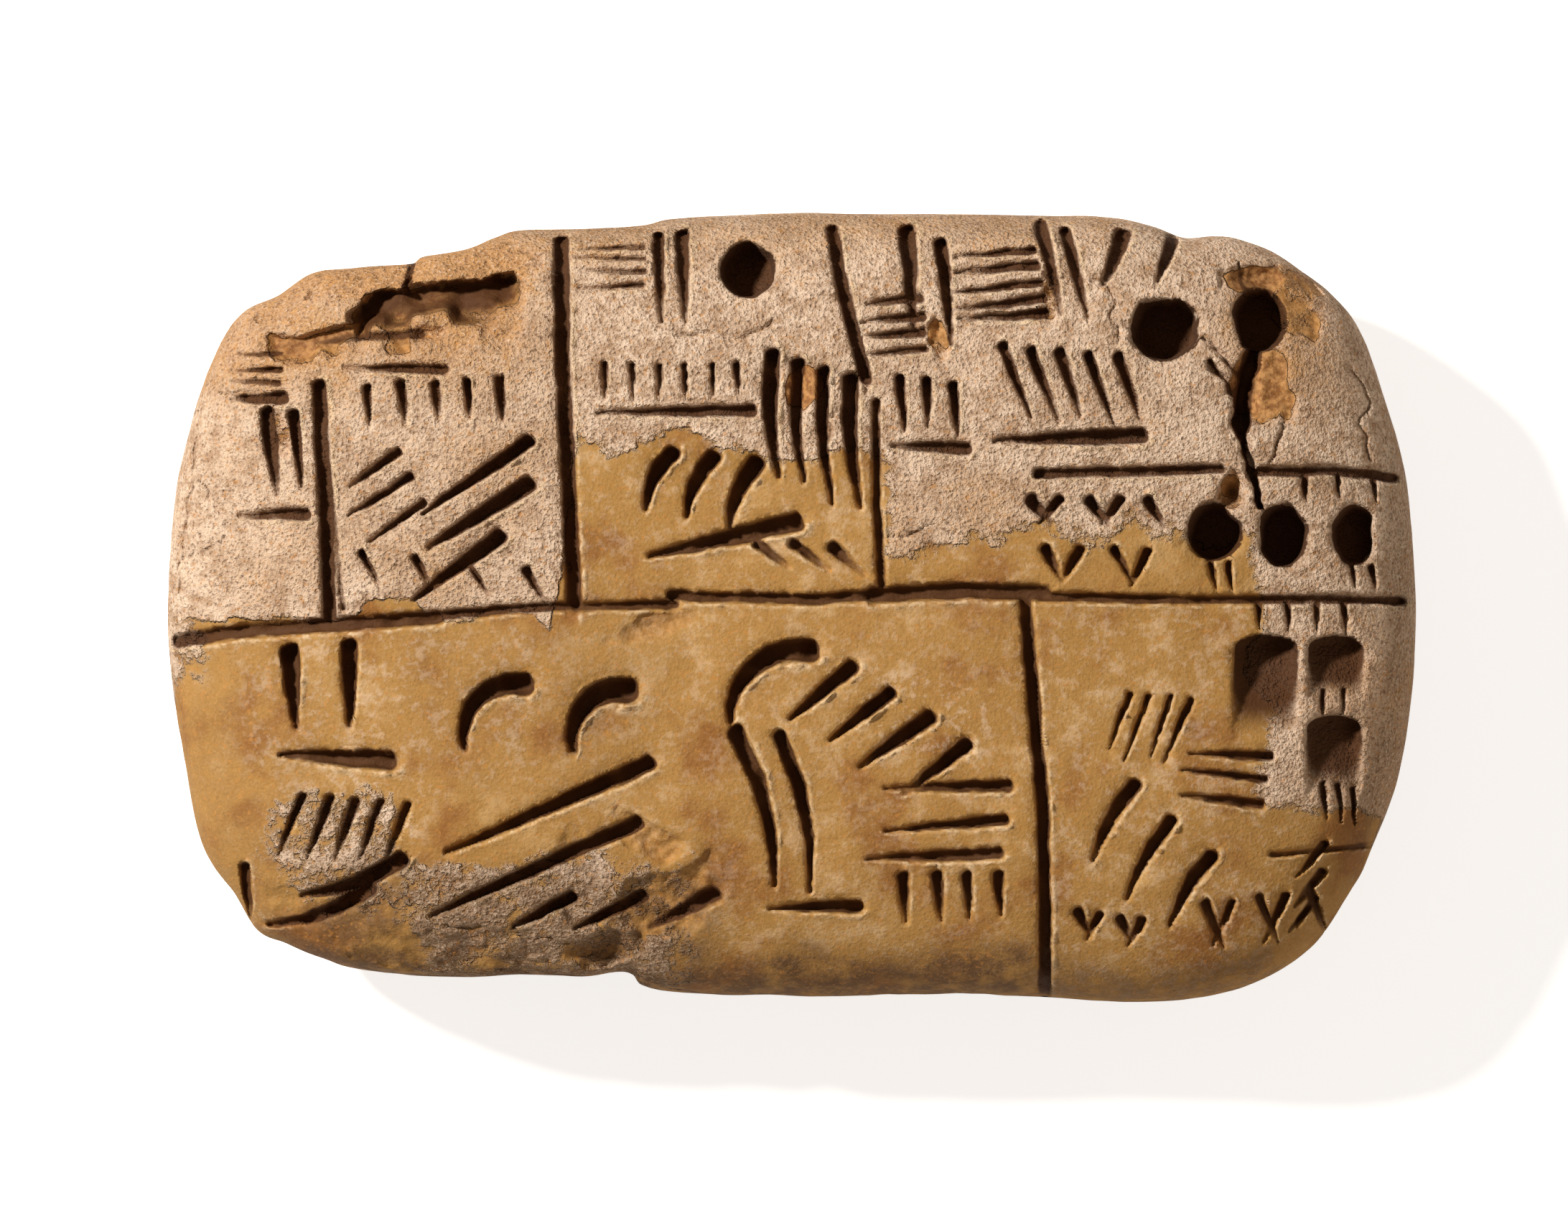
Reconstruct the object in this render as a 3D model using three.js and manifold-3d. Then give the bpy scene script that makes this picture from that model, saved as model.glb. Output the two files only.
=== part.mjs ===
// A small clay writing tablet of the earliest kind: a cushion of fine clay, ruled into cases with a
// stylus, pressed with round counting marks and filled with rows of plain strokes, then dried hard.
// It lies on its back: +Z is the way its face looks, +X runs along its length, and the origin is on
// the surface that it rests on, under the middle of its outline. All sizes are in millimetres.

import * as THREE from "three";
import { mergeVertices } from "three/addons/utils/BufferGeometryUtils.js";
import Module from "manifold-3d";

const wasm = await Module();
wasm.setup();

// ---- Driving dimensions -------------------------------------------------------------------------

const LENGTH = 76.2; // along X
const WIDTH = 48.2; // along Y
const THICKNESS = 20; // along Z
const GIRTH_HEIGHT = 9.4; // height of the widest girth above the rest surface
const FACE_RISE = THICKNESS - GIRTH_HEIGHT; // from the girth up to the middle of the face
const BACK_DROP = 9.9; // from the girth down to the back, before the back was pressed flat
const PLUMPNESS = 3; // exponent of the cushion's section: 2 is an ellipse, more is boxier
const FLAT_SHARE = 0.88; // how far out the faces reach, as a share of the way to the rim
const OUTERMOST_SHARE = 0.985; // marks further out than this are cut as if they were here
const FACET_SAG = 0.08; // how far the flat facets lie under the true cushion

// ---- Outline: a rounded cushion, chipped at its upper left and along its lower edge --------------

const OUTLINE_POINTS = [
  [38.1, 0], [37.6, 7], [36.4, 12.2], [34.2, 17.8], [30.4, 21.1], [25.6, 22.7],
  [20.5, 23.6], [12, 24.1], [0, 24.1], [-8, 23.7], [-10, 23.4], [-16.5, 23.2],
  [-19.5, 22.3], [-22.8, 21.5], [-23.6, 20.9], [-29, 20.5], [-32, 18.9], [-34.6, 16.4],
  [-36.5, 12.4], [-37.7, 7], [-38.1, 1], [-37.6, -4], [-36.9, -10], [-36, -14.6],
  [-33.7, -18], [-32, -20.1], [-28, -21.6], [-24.5, -22.4], [-18, -22.3], [-13, -22.3],
  [-9.8, -22], [-8.7, -23.1], [0, -23.6], [10, -23.6], [21, -24.1], [27.4, -23.4],
  [31.4, -21], [34.4, -16.9], [36.7, -11.4], [37.8, -6.2],
];
const OUTLINE_SAMPLES = 480;

// An angle in radians brought into the first whole turn.
function wholeTurn(angle) {
  return (angle + 2 * Math.PI) % (2 * Math.PI);
}

const outlineCurve = new THREE.CatmullRomCurve3(
  OUTLINE_POINTS.map(([x, y]) => new THREE.Vector3(x, y, 0)),
  true,
  "catmullrom",
  0.5,
);
const rim = outlineCurve
  .getPoints(OUTLINE_SAMPLES)
  .slice(0, OUTLINE_SAMPLES)
  .map((p) => ({ angle: wholeTurn(Math.atan2(p.y, p.x)), radius: Math.hypot(p.x, p.y) }))
  .sort((a, b) => a.angle - b.angle);

// Distance from the middle of the tablet to its rim, in the direction of an angle.
function rimRadius(direction) {
  const angle = wholeTurn(direction);
  const next = Math.max(0, rim.findIndex((p) => p.angle > angle));
  const before = rim.at(next - 1);
  const after = rim[next];
  const share = wholeTurn(angle - before.angle) / wholeTurn(after.angle - before.angle);
  return before.radius + (after.radius - before.radius) * share;
}

// Height of the uncarved face over a point, on its facets.
function faceHeight(x, y) {
  const share = Math.min(OUTERMOST_SHARE, Math.hypot(x, y) / rimRadius(Math.atan2(y, x)));
  return GIRTH_HEIGHT + FACE_RISE * (1 - share ** PLUMPNESS) ** (1 / PLUMPNESS) - FACET_SAG;
}

// ---- Helpers: closed geometry to solid and back --------------------------------------------------

function toSolid(geometry) {
  const bare = new THREE.BufferGeometry().setAttribute("position", geometry.getAttribute("position").clone());
  if (geometry.index) bare.setIndex(geometry.index.clone());
  const merged = mergeVertices(bare, 1e-4);
  return new wasm.Manifold(
    new wasm.Mesh({
      numProp: 3,
      vertProperties: merged.attributes.position.array,
      triVerts: new Uint32Array(merged.index.array),
    }),
  );
}

function toGeometry(solid) {
  const mesh = solid.getMesh();
  const geometry = new THREE.BufferGeometry()
    .setAttribute("position", new THREE.BufferAttribute(new Float32Array(mesh.vertProperties), 3))
    .setIndex(new THREE.BufferAttribute(new Uint32Array(mesh.triVerts), 1));
  geometry.computeVertexNormals();
  return geometry;
}

// Moves every vertex of a geometry to where place(x, y, z) says.
function reshape(geometry, place) {
  const position = geometry.getAttribute("position");
  for (let i = 0; i < position.count; i++)
    position.setXYZ(i, ...place(position.getX(i), position.getY(i), position.getZ(i)));
  return geometry;
}

// ---- The cushion ---------------------------------------------------------------------------------

const GRID = { along: 20, across: 12, around: 6 };
const RIM_TURN = Math.asin(FLAT_SHARE ** (PLUMPNESS / 2)); // where the face ends, as an angle of the section

// A box of side 2 turned into the cushion: its top and bottom become the faces, its sides the rim.
function cushion() {
  const box = new THREE.BoxGeometry(2, 2, 2, GRID.along, GRID.across, GRID.around);
  return reshape(box, (u, v, w) => {
    const angle = Math.atan2(v * WIDTH, u * LENGTH);
    const inward = Math.max(Math.abs(u), Math.abs(v));
    const turn = Math.PI / 2 - Math.abs(w) * (Math.PI / 2 - RIM_TURN);
    const share = inward * Math.sin(turn) ** (2 / PLUMPNESS);
    const rise = (1 - share ** PLUMPNESS) ** (1 / PLUMPNESS);
    const z = GIRTH_HEIGHT + rise * (w > 0 ? FACE_RISE : -BACK_DROP);
    const radius = share * rimRadius(angle);
    return [radius * Math.cos(angle), radius * Math.sin(angle), Math.max(0, z)];
  });
}

// ---- Marks: what the stylus cuts -----------------------------------------------------------------

const LIP_CLEARANCE = 0.6; // how far a cutter stands above the face
const BEND_PER_STEP = 24; // degrees of a bowed stroke's curve that one straight piece stands for
const DEGREE = Math.PI / 180;

// A cutter with a V section along stations {x, y, width, depth}, each measured at the face.
function grooveCutter(stations) {
  const steps = stations.length - 1;
  const prism = new THREE.CylinderGeometry(1, 1, 1, 3, steps);
  return toSolid(
    reshape(prism, (cx, cy, cz) => {
      const i = Math.round((0.5 - cy) * steps);
      const here = stations[i];
      const before = stations[Math.max(0, i - 1)];
      const after = stations[Math.min(steps, i + 1)];
      const run = Math.hypot(after.x - before.x, after.y - before.y);
      const side = [-(after.y - before.y) / run, (after.x - before.x) / run];
      const face = faceHeight(here.x, here.y);
      const spread = ((here.width / 2) * (here.depth + LIP_CLEARANCE)) / here.depth;
      // Seen along the groove the section is a triangle: its middle, its lowest corner, its two upper ones.
      if (Math.hypot(cx, cz) < 0.5) return [here.x, here.y, face];
      if (cz > 0.9) return [here.x, here.y, face - here.depth];
      const offset = -Math.sign(cx) * spread;
      return [here.x + side[0] * offset, here.y + side[1] * offset, face + LIP_CLEARANCE];
    }),
  );
}

// One stroke of the stylus: deep and broad at its head, thinning to its tail. turn is the way from
// head to tail and bend how much it curves on the way, both in degrees.
function stroke([x, y], { turn, length, width, depth, bend = 0, tail = 0.12 }) {
  const steps = Math.max(1, Math.ceil(Math.abs(bend) / BEND_PER_STEP));
  const stations = [];
  for (let i = 0; i <= steps; i++) {
    const left = 1 - (1 - tail) * (i / steps);
    stations.push({ x, y, width: width * left, depth: depth * left });
    const heading = (turn + (bend * (i + 0.5)) / steps) * DEGREE;
    x += (length / steps) * Math.cos(heading);
    y += (length / steps) * Math.sin(heading);
  }
  return grooveCutter(stations);
}

// A row of like strokes, each moved on by a step from the last.
function row(count, [x, y], [dx, dy], like) {
  return Array.from({ length: count }, (_, i) => stroke([x + i * dx, y + i * dy], like));
}

// A zigzag: a row whose every second stroke leans the other way.
function zigzag(count, [x, y], [dx, dy], like) {
  return Array.from({ length: count }, (_, i) =>
    stroke([x + i * dx, y + i * dy], i % 2 ? { ...like, turn: -180 - like.turn } : like),
  );
}

// A ruled line through a few points, as broad at its end as at its start.
function ruledLine(width, depth, points) {
  return grooveCutter(points.map(([x, y]) => ({ x, y, width, depth })));
}

// A counting mark: the blunt round end of the stylus, pushed in leaning a little.
const MARK = { depth: 3.4, floorShare: 0.72, sides: 12, lean: 0.5 };
function roundMark(x, y, halfLength, halfWidth) {
  const height = MARK.depth + 2 * LIP_CLEARANCE;
  const punch = new THREE.CylinderGeometry(1, MARK.floorShare, height, MARK.sides);
  const top = faceHeight(x, y) + 2 * LIP_CLEARANCE;
  return toSolid(
    reshape(punch, (px, py, pz) => {
      const down = 0.5 - py / height;
      const shift = MARK.lean * down;
      return [x + px * halfLength - shift, y - pz * halfWidth + shift, top - down * height];
    }),
  );
}

// A scoop: the round stylus held low, so that it went in at its head and came out at its tail.
const SCOOP_SIDES = 10;
function scoop([x, y], { length, radius, depth }) {
  const tilt = Math.asin(depth / length);
  const cylinder = new THREE.CylinderGeometry(radius, radius, length, SCOOP_SIDES)
    .rotateX(-tilt)
    .translate(x, y - length / 2, faceHeight(x, y) - depth / 2 + radius * Math.cos(tilt));
  return toSolid(cylinder);
}

// A lost flake: a lump of broken facets, placed by its middle, half sizes and turn about Z.
function flake({ x, y, sink, half, turn = 0 }) {
  const lump = new THREE.IcosahedronGeometry(1, 1)
    .scale(...half)
    .rotateZ(turn * DEGREE)
    .translate(x, y, faceHeight(x, y) + half[2] - sink);
  return toSolid(lump);
}

// ---- Ruled lines between the cases ----------------------------------------------------------------

const rulings = [
  ruledLine(1, 0.7, [[-37.2, -1.9], [-33, -1.35], [-27, -0.95], [-21.5, -0.55]]),
  ruledLine(0.7, 0.55, [[-21.8, -0.55], [-15.5, 0.05], [-7.2, 0.2]]),
  ruledLine(0.8, 0.6, [[-7.3, 0.75], [1, 0.5], [5, 0.8]]),
  ruledLine(1.1, 0.75, [[4.8, 0.8], [10, 1.05], [15, 0.95]]),
  ruledLine(0.7, 0.55, [[14.8, 0.7], [22, 0.5], [28, 0.55], [37, 0.45]]),
  ruledLine(0.9, 0.7, [[14, 0.6], [14.5, -5.5], [15.05, -11.5], [15.2, -17], [15.3, -23.2]]),
  ruledLine(1.05, 0.8, [[-14, 22], [-13.9, 16], [-13.6, 9.5], [-13.15, 0.4]]),
  ruledLine(1, 0.75, [[-28.6, 13.4], [-28.2, 7], [-27.9, -0.6]]),
  ruledLine(0.45, 0.4, [[-27.8, 6.4], [-27.1, 0]]),
  ruledLine(0.9, 0.75, [[2.4, 22.7], [3.1, 19], [4.4, 13.9]]),
  ruledLine(0.65, 0.55, [[5, 12.4], [5.1, 6], [5.4, 1.5]]),
  ruledLine(0.75, 0.6, [[14.8, 8.1], [20, 8.25], [25.8, 8.4]]),
  ruledLine(0.75, 0.6, [[28.1, 8.2], [33, 8.3], [36.4, 7.9]]),
  ruledLine(0.45, 0.4, [[29, -14.9], [35.2, -14.4]]),
];

// ---- Counting marks --------------------------------------------------------------------------------

const countingMarks = [
  roundMark(-2.7, 20.6, 1.8, 1.9),
  roundMark(22.5, 17, 2, 1.95),
  roundMark(28.3, 17.1, 1.85, 1.9),
  roundMark(25.5, 4.5, 1.65, 1.75),
  roundMark(29.7, 4.4, 1.55, 1.85),
  roundMark(34, 4.4, 1.35, 1.8),
];

// ---- Strokes, case by case -------------------------------------------------------------------------

// Upper left: short level strokes over two tall ones and a footing stroke.
const firstCase = [
  ...row(3, [-31, 15.3], [0, -0.85], { turn: 178, length: 2.9, width: 0.6, depth: 0.55 }),
  stroke([-30.7, 12.7], { turn: 181, length: 3.2, width: 1.1, depth: 0.75 }),
  ...row(2, [-31.8, 11.7], [1.7, 0], { turn: -84, length: 4.8, width: 1.1, depth: 0.85 }),
  stroke([-29.3, 5.7], { turn: 182, length: 4, width: 1.05, depth: 0.7 }),
];

// Under the broken corner: two long level strokes over a row of short upright ones.
const cornerCase = [
  ...row(2, [-22.4, 16.6], [1.5, -2.2], { turn: 182, length: 6.4, width: 0.8, depth: 0.7 }),
  ...row(5, [-25.6, 13.3], [2, 0.1], { turn: -83, length: 2.2, width: 0.85, depth: 0.7 }),
];

// Rows of slanting strokes, short and thin above, long and broad below, then short ones turned back.
const slantedCase = [
  ...row(3, [-23.7, 9.4], [0.75, -1.5], { turn: 214, length: 4, width: 0.85, depth: 0.7 }),
  ...row(2, [-15.9, 10], [0.1, -2.6], { turn: 212, length: 7.6, width: 1.25, depth: 1 }),
  stroke([-17.6, 4.3], { turn: 216, length: 6.4, width: 1.25, depth: 1 }),
  ...row(4, [-26, 3.3], [3.3, -0.35], { turn: -58, length: 2.4, width: 0.7, depth: 0.65 }),
];

// Second column: level strokes, two tall ones, then short hanging strokes over a long level one.
const secondCase = [
  ...row(4, [-8.9, 21.8], [0, -0.78], { turn: 181, length: 3.9, width: 0.55, depth: 0.5 }),
  ...row(2, [-8.1, 22.6], [1.3, 0], { turn: -86, length: 5.6, width: 1, depth: 0.75 }),
  ...row(6, [-11.3, 14.6], [1.6, 0], { turn: -87, length: 2, width: 0.6, depth: 0.55 }),
  stroke([-2.3, 11.9], { turn: 181, length: 9.4, width: 1, depth: 0.75 }),
];

// Tall bowed strokes side by side, with broad bowed ones and a long slanting one before them.
const bowedCase = [
  ...row(4, [-1.2, 15.2], [1.55, -0.5], { turn: -98, bend: 20, length: 7.6, width: 1.15, depth: 1 }),
  ...row(3, [-7.2, 9.4], [2.5, -0.3], { turn: 226, bend: 44, length: 3.9, width: 1.45, depth: 1.05 }),
  stroke([0.3, 5.2], { turn: 193, length: 9, width: 1.55, depth: 1 }),
  ...row(3, [-2.2, 3.9], [2.3, -0.1], { turn: -38, length: 2.6, width: 0.9, depth: 0.65 }),
];

// Third column: level strokes beside two tall ones, hanging strokes and a footing stroke.
const thirdCase = [
  ...row(4, [7.8, 18.6], [0.1, -1], { turn: 184, length: 3.5, width: 0.8, depth: 0.65 }),
  ...row(2, [7, 22.8], [2, -0.7], { turn: -84, length: 6, width: 1.15, depth: 1 }),
  ...row(3, [6.5, 13.9], [1.6, -0.2], { turn: -86, length: 3, width: 0.9, depth: 0.7 }),
  stroke([10.5, 9.6], { turn: 178, length: 4.4, width: 1.1, depth: 0.85 }),
];

// Fourth column: broad level strokes, a row of leaning ones and a long base stroke.
const fourthCase = [
  ...row(5, [14.7, 21.6], [0.15, -0.95], { turn: 187, length: 5.2, width: 0.8, depth: 0.65 }),
  ...row(2, [15.1, 23.2], [1.5, -0.4], { turn: -78, length: 5.2, width: 1, depth: 0.85 }),
  ...row(5, [12.6, 15.7], [1.75, -0.15], { turn: -70, length: 4.4, width: 0.9, depth: 0.75 }),
  stroke([21.1, 10.4], { turn: 182, length: 8.8, width: 1.3, depth: 1 }),
];

// Upper right: two strokes above the counting marks.
const cornerStrokes = [
  ...row(2, [20, 22.7], [3.2, -0.2], { turn: 246, length: 3.1, width: 1.15, depth: 1 }),
];

// Middle right: two zigzag rows, and ticks above and below the counting marks.
const zigzagCase = [
  ...zigzag(5, [14.4, 6.5], [1.75, 0], { turn: -52, length: 1.9, width: 1, depth: 0.75 }),
  ...zigzag(4, [15.3, 3.5], [2.05, 0], { turn: -62, length: 2.1, width: 0.9, depth: 0.7 }),
  ...row(3, [30.9, 7.9], [2.15, 0], { turn: -86, length: 1.4, width: 0.6, depth: 0.65 }),
  ...row(2, [25.2, 2.6], [1.1, 0], { turn: -78, length: 1.6, width: 0.6, depth: 0.55 }),
  ...row(2, [33.8, 2.5], [1.1, 0], { turn: -78, length: 1.4, width: 0.6, depth: 0.55 }),
];

// Lower left: two stout wedges over a level one, a comb of slanting strokes and two sweeps below.
const combCase = [
  ...row(2, [-30.4, -2.6], [3.6, 0.3], { turn: -88, length: 4.6, width: 1.45, depth: 1.1 }),
  stroke([-24.2, -9.2], { turn: 177, length: 6.6, width: 1.45, depth: 1 }),
  ...row(5, [-29.6, -11.4], [1.6, -0.1], { turn: 250, length: 3.7, width: 0.8, depth: 0.65 }),
  ...row(2, [-23.6, -15.2], [-1.9, -1.7], { turn: 214, bend: -30, length: 6.4, width: 1.3, depth: 1 }),
  stroke([-33.2, -15.7], { turn: -86, length: 3.4, width: 0.9, depth: 0.7 }),
];

// Lower middle left: two hooked strokes, long slanting ones, and short ones at the worn edge.
const hookCase = [
  ...row(2, [-16, -4.6], [6.2, -0.4], { turn: 168, bend: 116, length: 6, width: 1.7, depth: 1.25 }),
  ...row(2, [-8.6, -9.4], [-0.6, -3.5], { turn: 202, length: 13.4, width: 1.25, depth: 1 }),
  ...row(3, [-13.3, -17.4], [4.3, 0.1], { turn: 207, length: 4, width: 1.15, depth: 0.9 }),
];

// Lower middle: a hooked stroke, two long bowed ones, slanting ones stepping down and a footing.
const steppedCase = [
  stroke([1.2, -2.6], { turn: 168, bend: 104, length: 7.4, width: 1.7, depth: 1.25 }),
  ...row(2, [-3.4, -7.4], [2.7, -0.4], { turn: -62, bend: -32, length: 9.6, width: 1.25, depth: 1 }),
  ...row(4, [3.6, -3.6], [2.3, -1.5], { turn: 218, length: 4.8, width: 1.15, depth: 0.9 }),
  stroke([4, -18], { turn: 181, length: 5.2, width: 1.1, depth: 0.85 }),
];

// Lower middle right: level strokes over a row of short upright ones.
const levelCase = [
  ...row(3, [13.1, -10.7], [-0.3, -2], { turn: 183, length: 7.4, width: 1, depth: 0.75 }),
  ...row(4, [6.7, -16.1], [1.9, 0], { turn: -84, length: 2.6, width: 1, depth: 0.7 }),
];

// Right edge: ticks between three scoops.
const edgeColumn = [
  ...row(4, [28.2, 0.3], [1.7, 0], { turn: -87, length: 1.7, width: 0.6, depth: 0.65 }),
  scoop([28.7, -1.6], { length: 5.5, radius: 1.7, depth: 1.65 }),
  scoop([32.8, -1.7], { length: 3.5, radius: 1.55, depth: 1.45 }),
  scoop([32.7, -6.5], { length: 4.2, radius: 1.4, depth: 1.35 }),
  ...row(2, [32.1, -5], [1.15, 0], { turn: -88, length: 1.6, width: 0.6, depth: 0.55 }),
  ...row(3, [32, -10.7], [0.95, -0.1], { turn: -86, length: 2.1, width: 0.6, depth: 0.55 }),
];

// Lower right: a sheaf of strokes, level ones, slanting ones and zigzags down to the rim.
const sheafCase = [
  ...row(4, [20.3, -5.2], [1.2, -0.1], { turn: 250, length: 3.9, width: 0.6, depth: 0.55 }),
  ...row(3, [28.9, -8.9], [-0.3, -1.5], { turn: 176, length: 5, width: 0.85, depth: 0.7 }),
  ...row(3, [20.6, -10.6], [2.3, -2.2], { turn: 228, bend: 24, length: 5.2, width: 1.1, depth: 0.85 }),
  ...zigzag(4, [17.2, -18.3], [1.3, -0.2], { turn: -62, length: 1.7, width: 0.9, depth: 0.7 }),
  ...row(3, [32.2, -14.2], [-0.2, -1.7], { turn: 232, length: 2.4, width: 0.8, depth: 0.65 }),
  ...zigzag(5, [25, -17.9], [1.6, 0.15], { turn: -66, length: 2.9, width: 0.85, depth: 0.65 }),
];

// ---- Breaks and cracks -----------------------------------------------------------------------------

const breaks = [
  flake({ x: -24, y: 18.4, sink: 2.1, half: [3, 1.5, 2.4], turn: 8 }),
  flake({ x: -19.4, y: 19, sink: 1.8, half: [3.2, 1.2, 2.1], turn: 8 }),
  flake({ x: -19.8, y: -22, sink: 1.6, half: [7, 1.6, 3], turn: -2 }),
  flake({ x: -10.8, y: -21, sink: 1.4, half: [2.6, 1.7, 3], turn: 12 }),
  flake({ x: 29.2, y: 13.8, sink: 0.6, half: [1.3, 2.6, 1.6], turn: 6 }),
  flake({ x: 27.3, y: 13, sink: 1.7, half: [0.8, 1.9, 2.2] }),
  flake({ x: -8.3, y: -1.2, sink: 0.4, half: [2, 0.8, 1], turn: 14 }),
  ruledLine(1, 1.2, [[27.9, 15.2], [27.1, 12.6], [27.3, 10], [28.2, 6.4]]),
];

// ---- The tablet: one solid -------------------------------------------------------------------------

const marks = [
  rulings, countingMarks, firstCase, cornerCase, slantedCase, secondCase, bowedCase, thirdCase, fourthCase,
  cornerStrokes, zigzagCase, combCase, hookCase, steppedCase, levelCase, edgeColumn, sheafCase, breaks,
].flat();

const carved = toSolid(cushion()).subtract(wasm.Manifold.union(marks));

const clay = new THREE.MeshStandardMaterial({ color: 0xbc966a, roughness: 0.92, metalness: 0 });
clay.name = "clay";

const tablet = new THREE.Mesh(toGeometry(carved), clay);
tablet.name = "tablet";

// The origin lies under the middle of the box that holds the tablet.
tablet.geometry.computeBoundingBox();
const middle = tablet.geometry.boundingBox.getCenter(new THREE.Vector3());
tablet.position.set(-middle.x, -middle.y, -tablet.geometry.boundingBox.min.z);

const part = new THREE.Group();
part.add(tablet);

export default part;
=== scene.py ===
import math

import bmesh
import bpy
import numpy as np
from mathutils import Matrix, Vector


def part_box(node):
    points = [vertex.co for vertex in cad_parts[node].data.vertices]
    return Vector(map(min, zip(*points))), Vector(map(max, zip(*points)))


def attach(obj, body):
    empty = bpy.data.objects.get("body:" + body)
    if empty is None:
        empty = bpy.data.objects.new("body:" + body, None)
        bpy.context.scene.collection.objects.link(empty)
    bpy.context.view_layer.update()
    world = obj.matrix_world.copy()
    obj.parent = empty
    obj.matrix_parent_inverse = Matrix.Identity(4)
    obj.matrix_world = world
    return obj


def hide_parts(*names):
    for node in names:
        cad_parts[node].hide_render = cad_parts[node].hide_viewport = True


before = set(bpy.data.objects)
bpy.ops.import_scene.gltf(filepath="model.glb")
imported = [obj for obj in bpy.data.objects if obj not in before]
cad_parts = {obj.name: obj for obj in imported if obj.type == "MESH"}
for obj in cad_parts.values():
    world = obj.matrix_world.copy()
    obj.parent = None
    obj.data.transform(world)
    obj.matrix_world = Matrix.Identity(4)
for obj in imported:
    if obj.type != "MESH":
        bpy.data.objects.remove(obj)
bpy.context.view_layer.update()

# ---- The tablet ------------------------------------------------------------------------------------
# One cushion of fine river clay, patted flat on its face, pressed flat on its back and dried in the
# sun. Its face is ruled into cases, with round counting marks and rows of plain strokes pressed in
# while it was damp. Lengths in this section are in millimetres until the mesh is placed.

MM = 0.001
tablet_low, tablet_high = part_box("tablet")
THICKNESS = (tablet_high[2] - tablet_low[2]) / MM
LENGTH = (tablet_high[0] - tablet_low[0]) / MM
WIDTH = (tablet_high[1] - tablet_low[1]) / MM
GIRTH_HEIGHT = 0.47 * THICKNESS
FACE_RISE = THICKNESS - GIRTH_HEIGHT
BACK_DROP = GIRTH_HEIGHT + 0.5
PLUMPNESS = 3
FLAT_SHARE = 0.88

# The cushion's own outline, and the same with its upper left and lower edges chipped away.
CUSHION = [
    (38.1, 0), (37.6, 7), (36.5, 12), (34.3, 17.8), (30.5, 21.1), (25.6, 22.9),
    (20.5, 23.8), (12, 24.1), (0, 24.1), (-10, 24.1), (-20, 23.5), (-27.5, 22),
    (-32, 19.7), (-34.8, 16.4), (-36.6, 12), (-37.7, 7), (-38.1, 1), (-37.9, -4),
    (-37.1, -9.6), (-36, -14.4), (-34, -18), (-31.4, -20.8), (-27.5, -22.6), (-20, -23.5),
    (-9, -23.7), (0, -23.8), (10, -23.8), (21, -24.2), (26.4, -23.6), (29.6, -22.3),
    (31.8, -20.6), (33.6, -18.2), (35.1, -15.6), (36.8, -11.4), (37.8, -6),
]
CHIPPED = [
    (38.1, 0), (37.6, 7), (36.5, 12), (34.3, 17.8), (30.5, 21.1), (27.6, 22.4), (25.8, 22.7),
    (24, 22.6), (22, 23.3), (19, 23.9), (12, 24.1), (4, 24.1), (-4, 24), (-7.4, 23.8),
    (-9.4, 23.4), (-13, 23.3), (-16.6, 23.2), (-18.2, 22.7), (-20.2, 21.9), (-22.6, 21.5),
    (-23.4, 21), (-26.6, 20.8), (-29.2, 20.5), (-31.4, 19.1), (-33.5, 18.1), (-35, 16),
    (-36.6, 12), (-37.7, 7), (-38.1, 1), (-37.9, -4), (-37.1, -9.6), (-36, -14.7),
    (-34, -17.6), (-32.6, -19.8), (-31, -20.6), (-29, -21.5), (-26, -22.3), (-20, -22.6),
    (-16, -22.4), (-12.8, -22.6), (-10.6, -22.2), (-9.7, -22.4), (-9.1, -23.1), (-7, -23.5),
    (0, -23.8), (10, -23.7), (16, -24), (22, -24.2), (26.4, -23.6), (29.6, -22.3),
    (31.8, -20.6), (33.6, -18.2), (35.1, -15.6), (36.8, -11.4), (37.8, -6),
]


def smooth_loop(points, samples_each):
    """A smooth closed line through a few points."""
    p1 = np.array(points, dtype=float)
    p0, p2, p3 = np.roll(p1, 1, axis=0), np.roll(p1, -1, axis=0), np.roll(p1, -2, axis=0)
    line = []
    for t in np.arange(samples_each) / samples_each:
        cubic = (3 * (p1 - p2) + p3 - p0) * t**3
        square = (2 * p0 - 5 * p1 + 4 * p2 - p3) * t**2
        line.append((2 * p1 + (p2 - p0) * t + square + cubic) / 2)
    return np.stack(line, axis=1).reshape(-1, 2)


def rim_radius(outline, angle):
    """Distance from the middle of the tablet to an outline, in the direction of an angle."""
    line = smooth_loop(outline, 12)
    return np.interp(
        angle, np.arctan2(line[:, 1], line[:, 0]), np.hypot(line[:, 0], line[:, 1]), period=2 * math.pi
    )


# Random lumps: a lattice of random values, smoothly joined.
LATTICE_LOW = np.array([-42.0, -28.0, -2.0])
LATTICE_SPAN = np.array([84.0, 56.0, 26.0])


def lumps(points, cell, seed):
    """Smooth random lumps about one cell across, from -1 to 1."""
    lattice_size = np.ceil(LATTICE_SPAN / cell).astype(int) + 2
    lattice = np.random.default_rng(seed).uniform(-1, 1, lattice_size)
    place = np.clip((points - LATTICE_LOW) / cell, 0, lattice_size - 2.001)
    corner = np.floor(place).astype(int)
    share = place - corner
    share = share * share * (3 - 2 * share)
    value = np.zeros(len(points))
    for step in np.ndindex(2, 2, 2):
        weight = np.prod(np.where(step, share, 1 - share), axis=1)
        at = corner + step
        value += weight * lattice[at[:, 0], at[:, 1], at[:, 2]]
    return value


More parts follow.
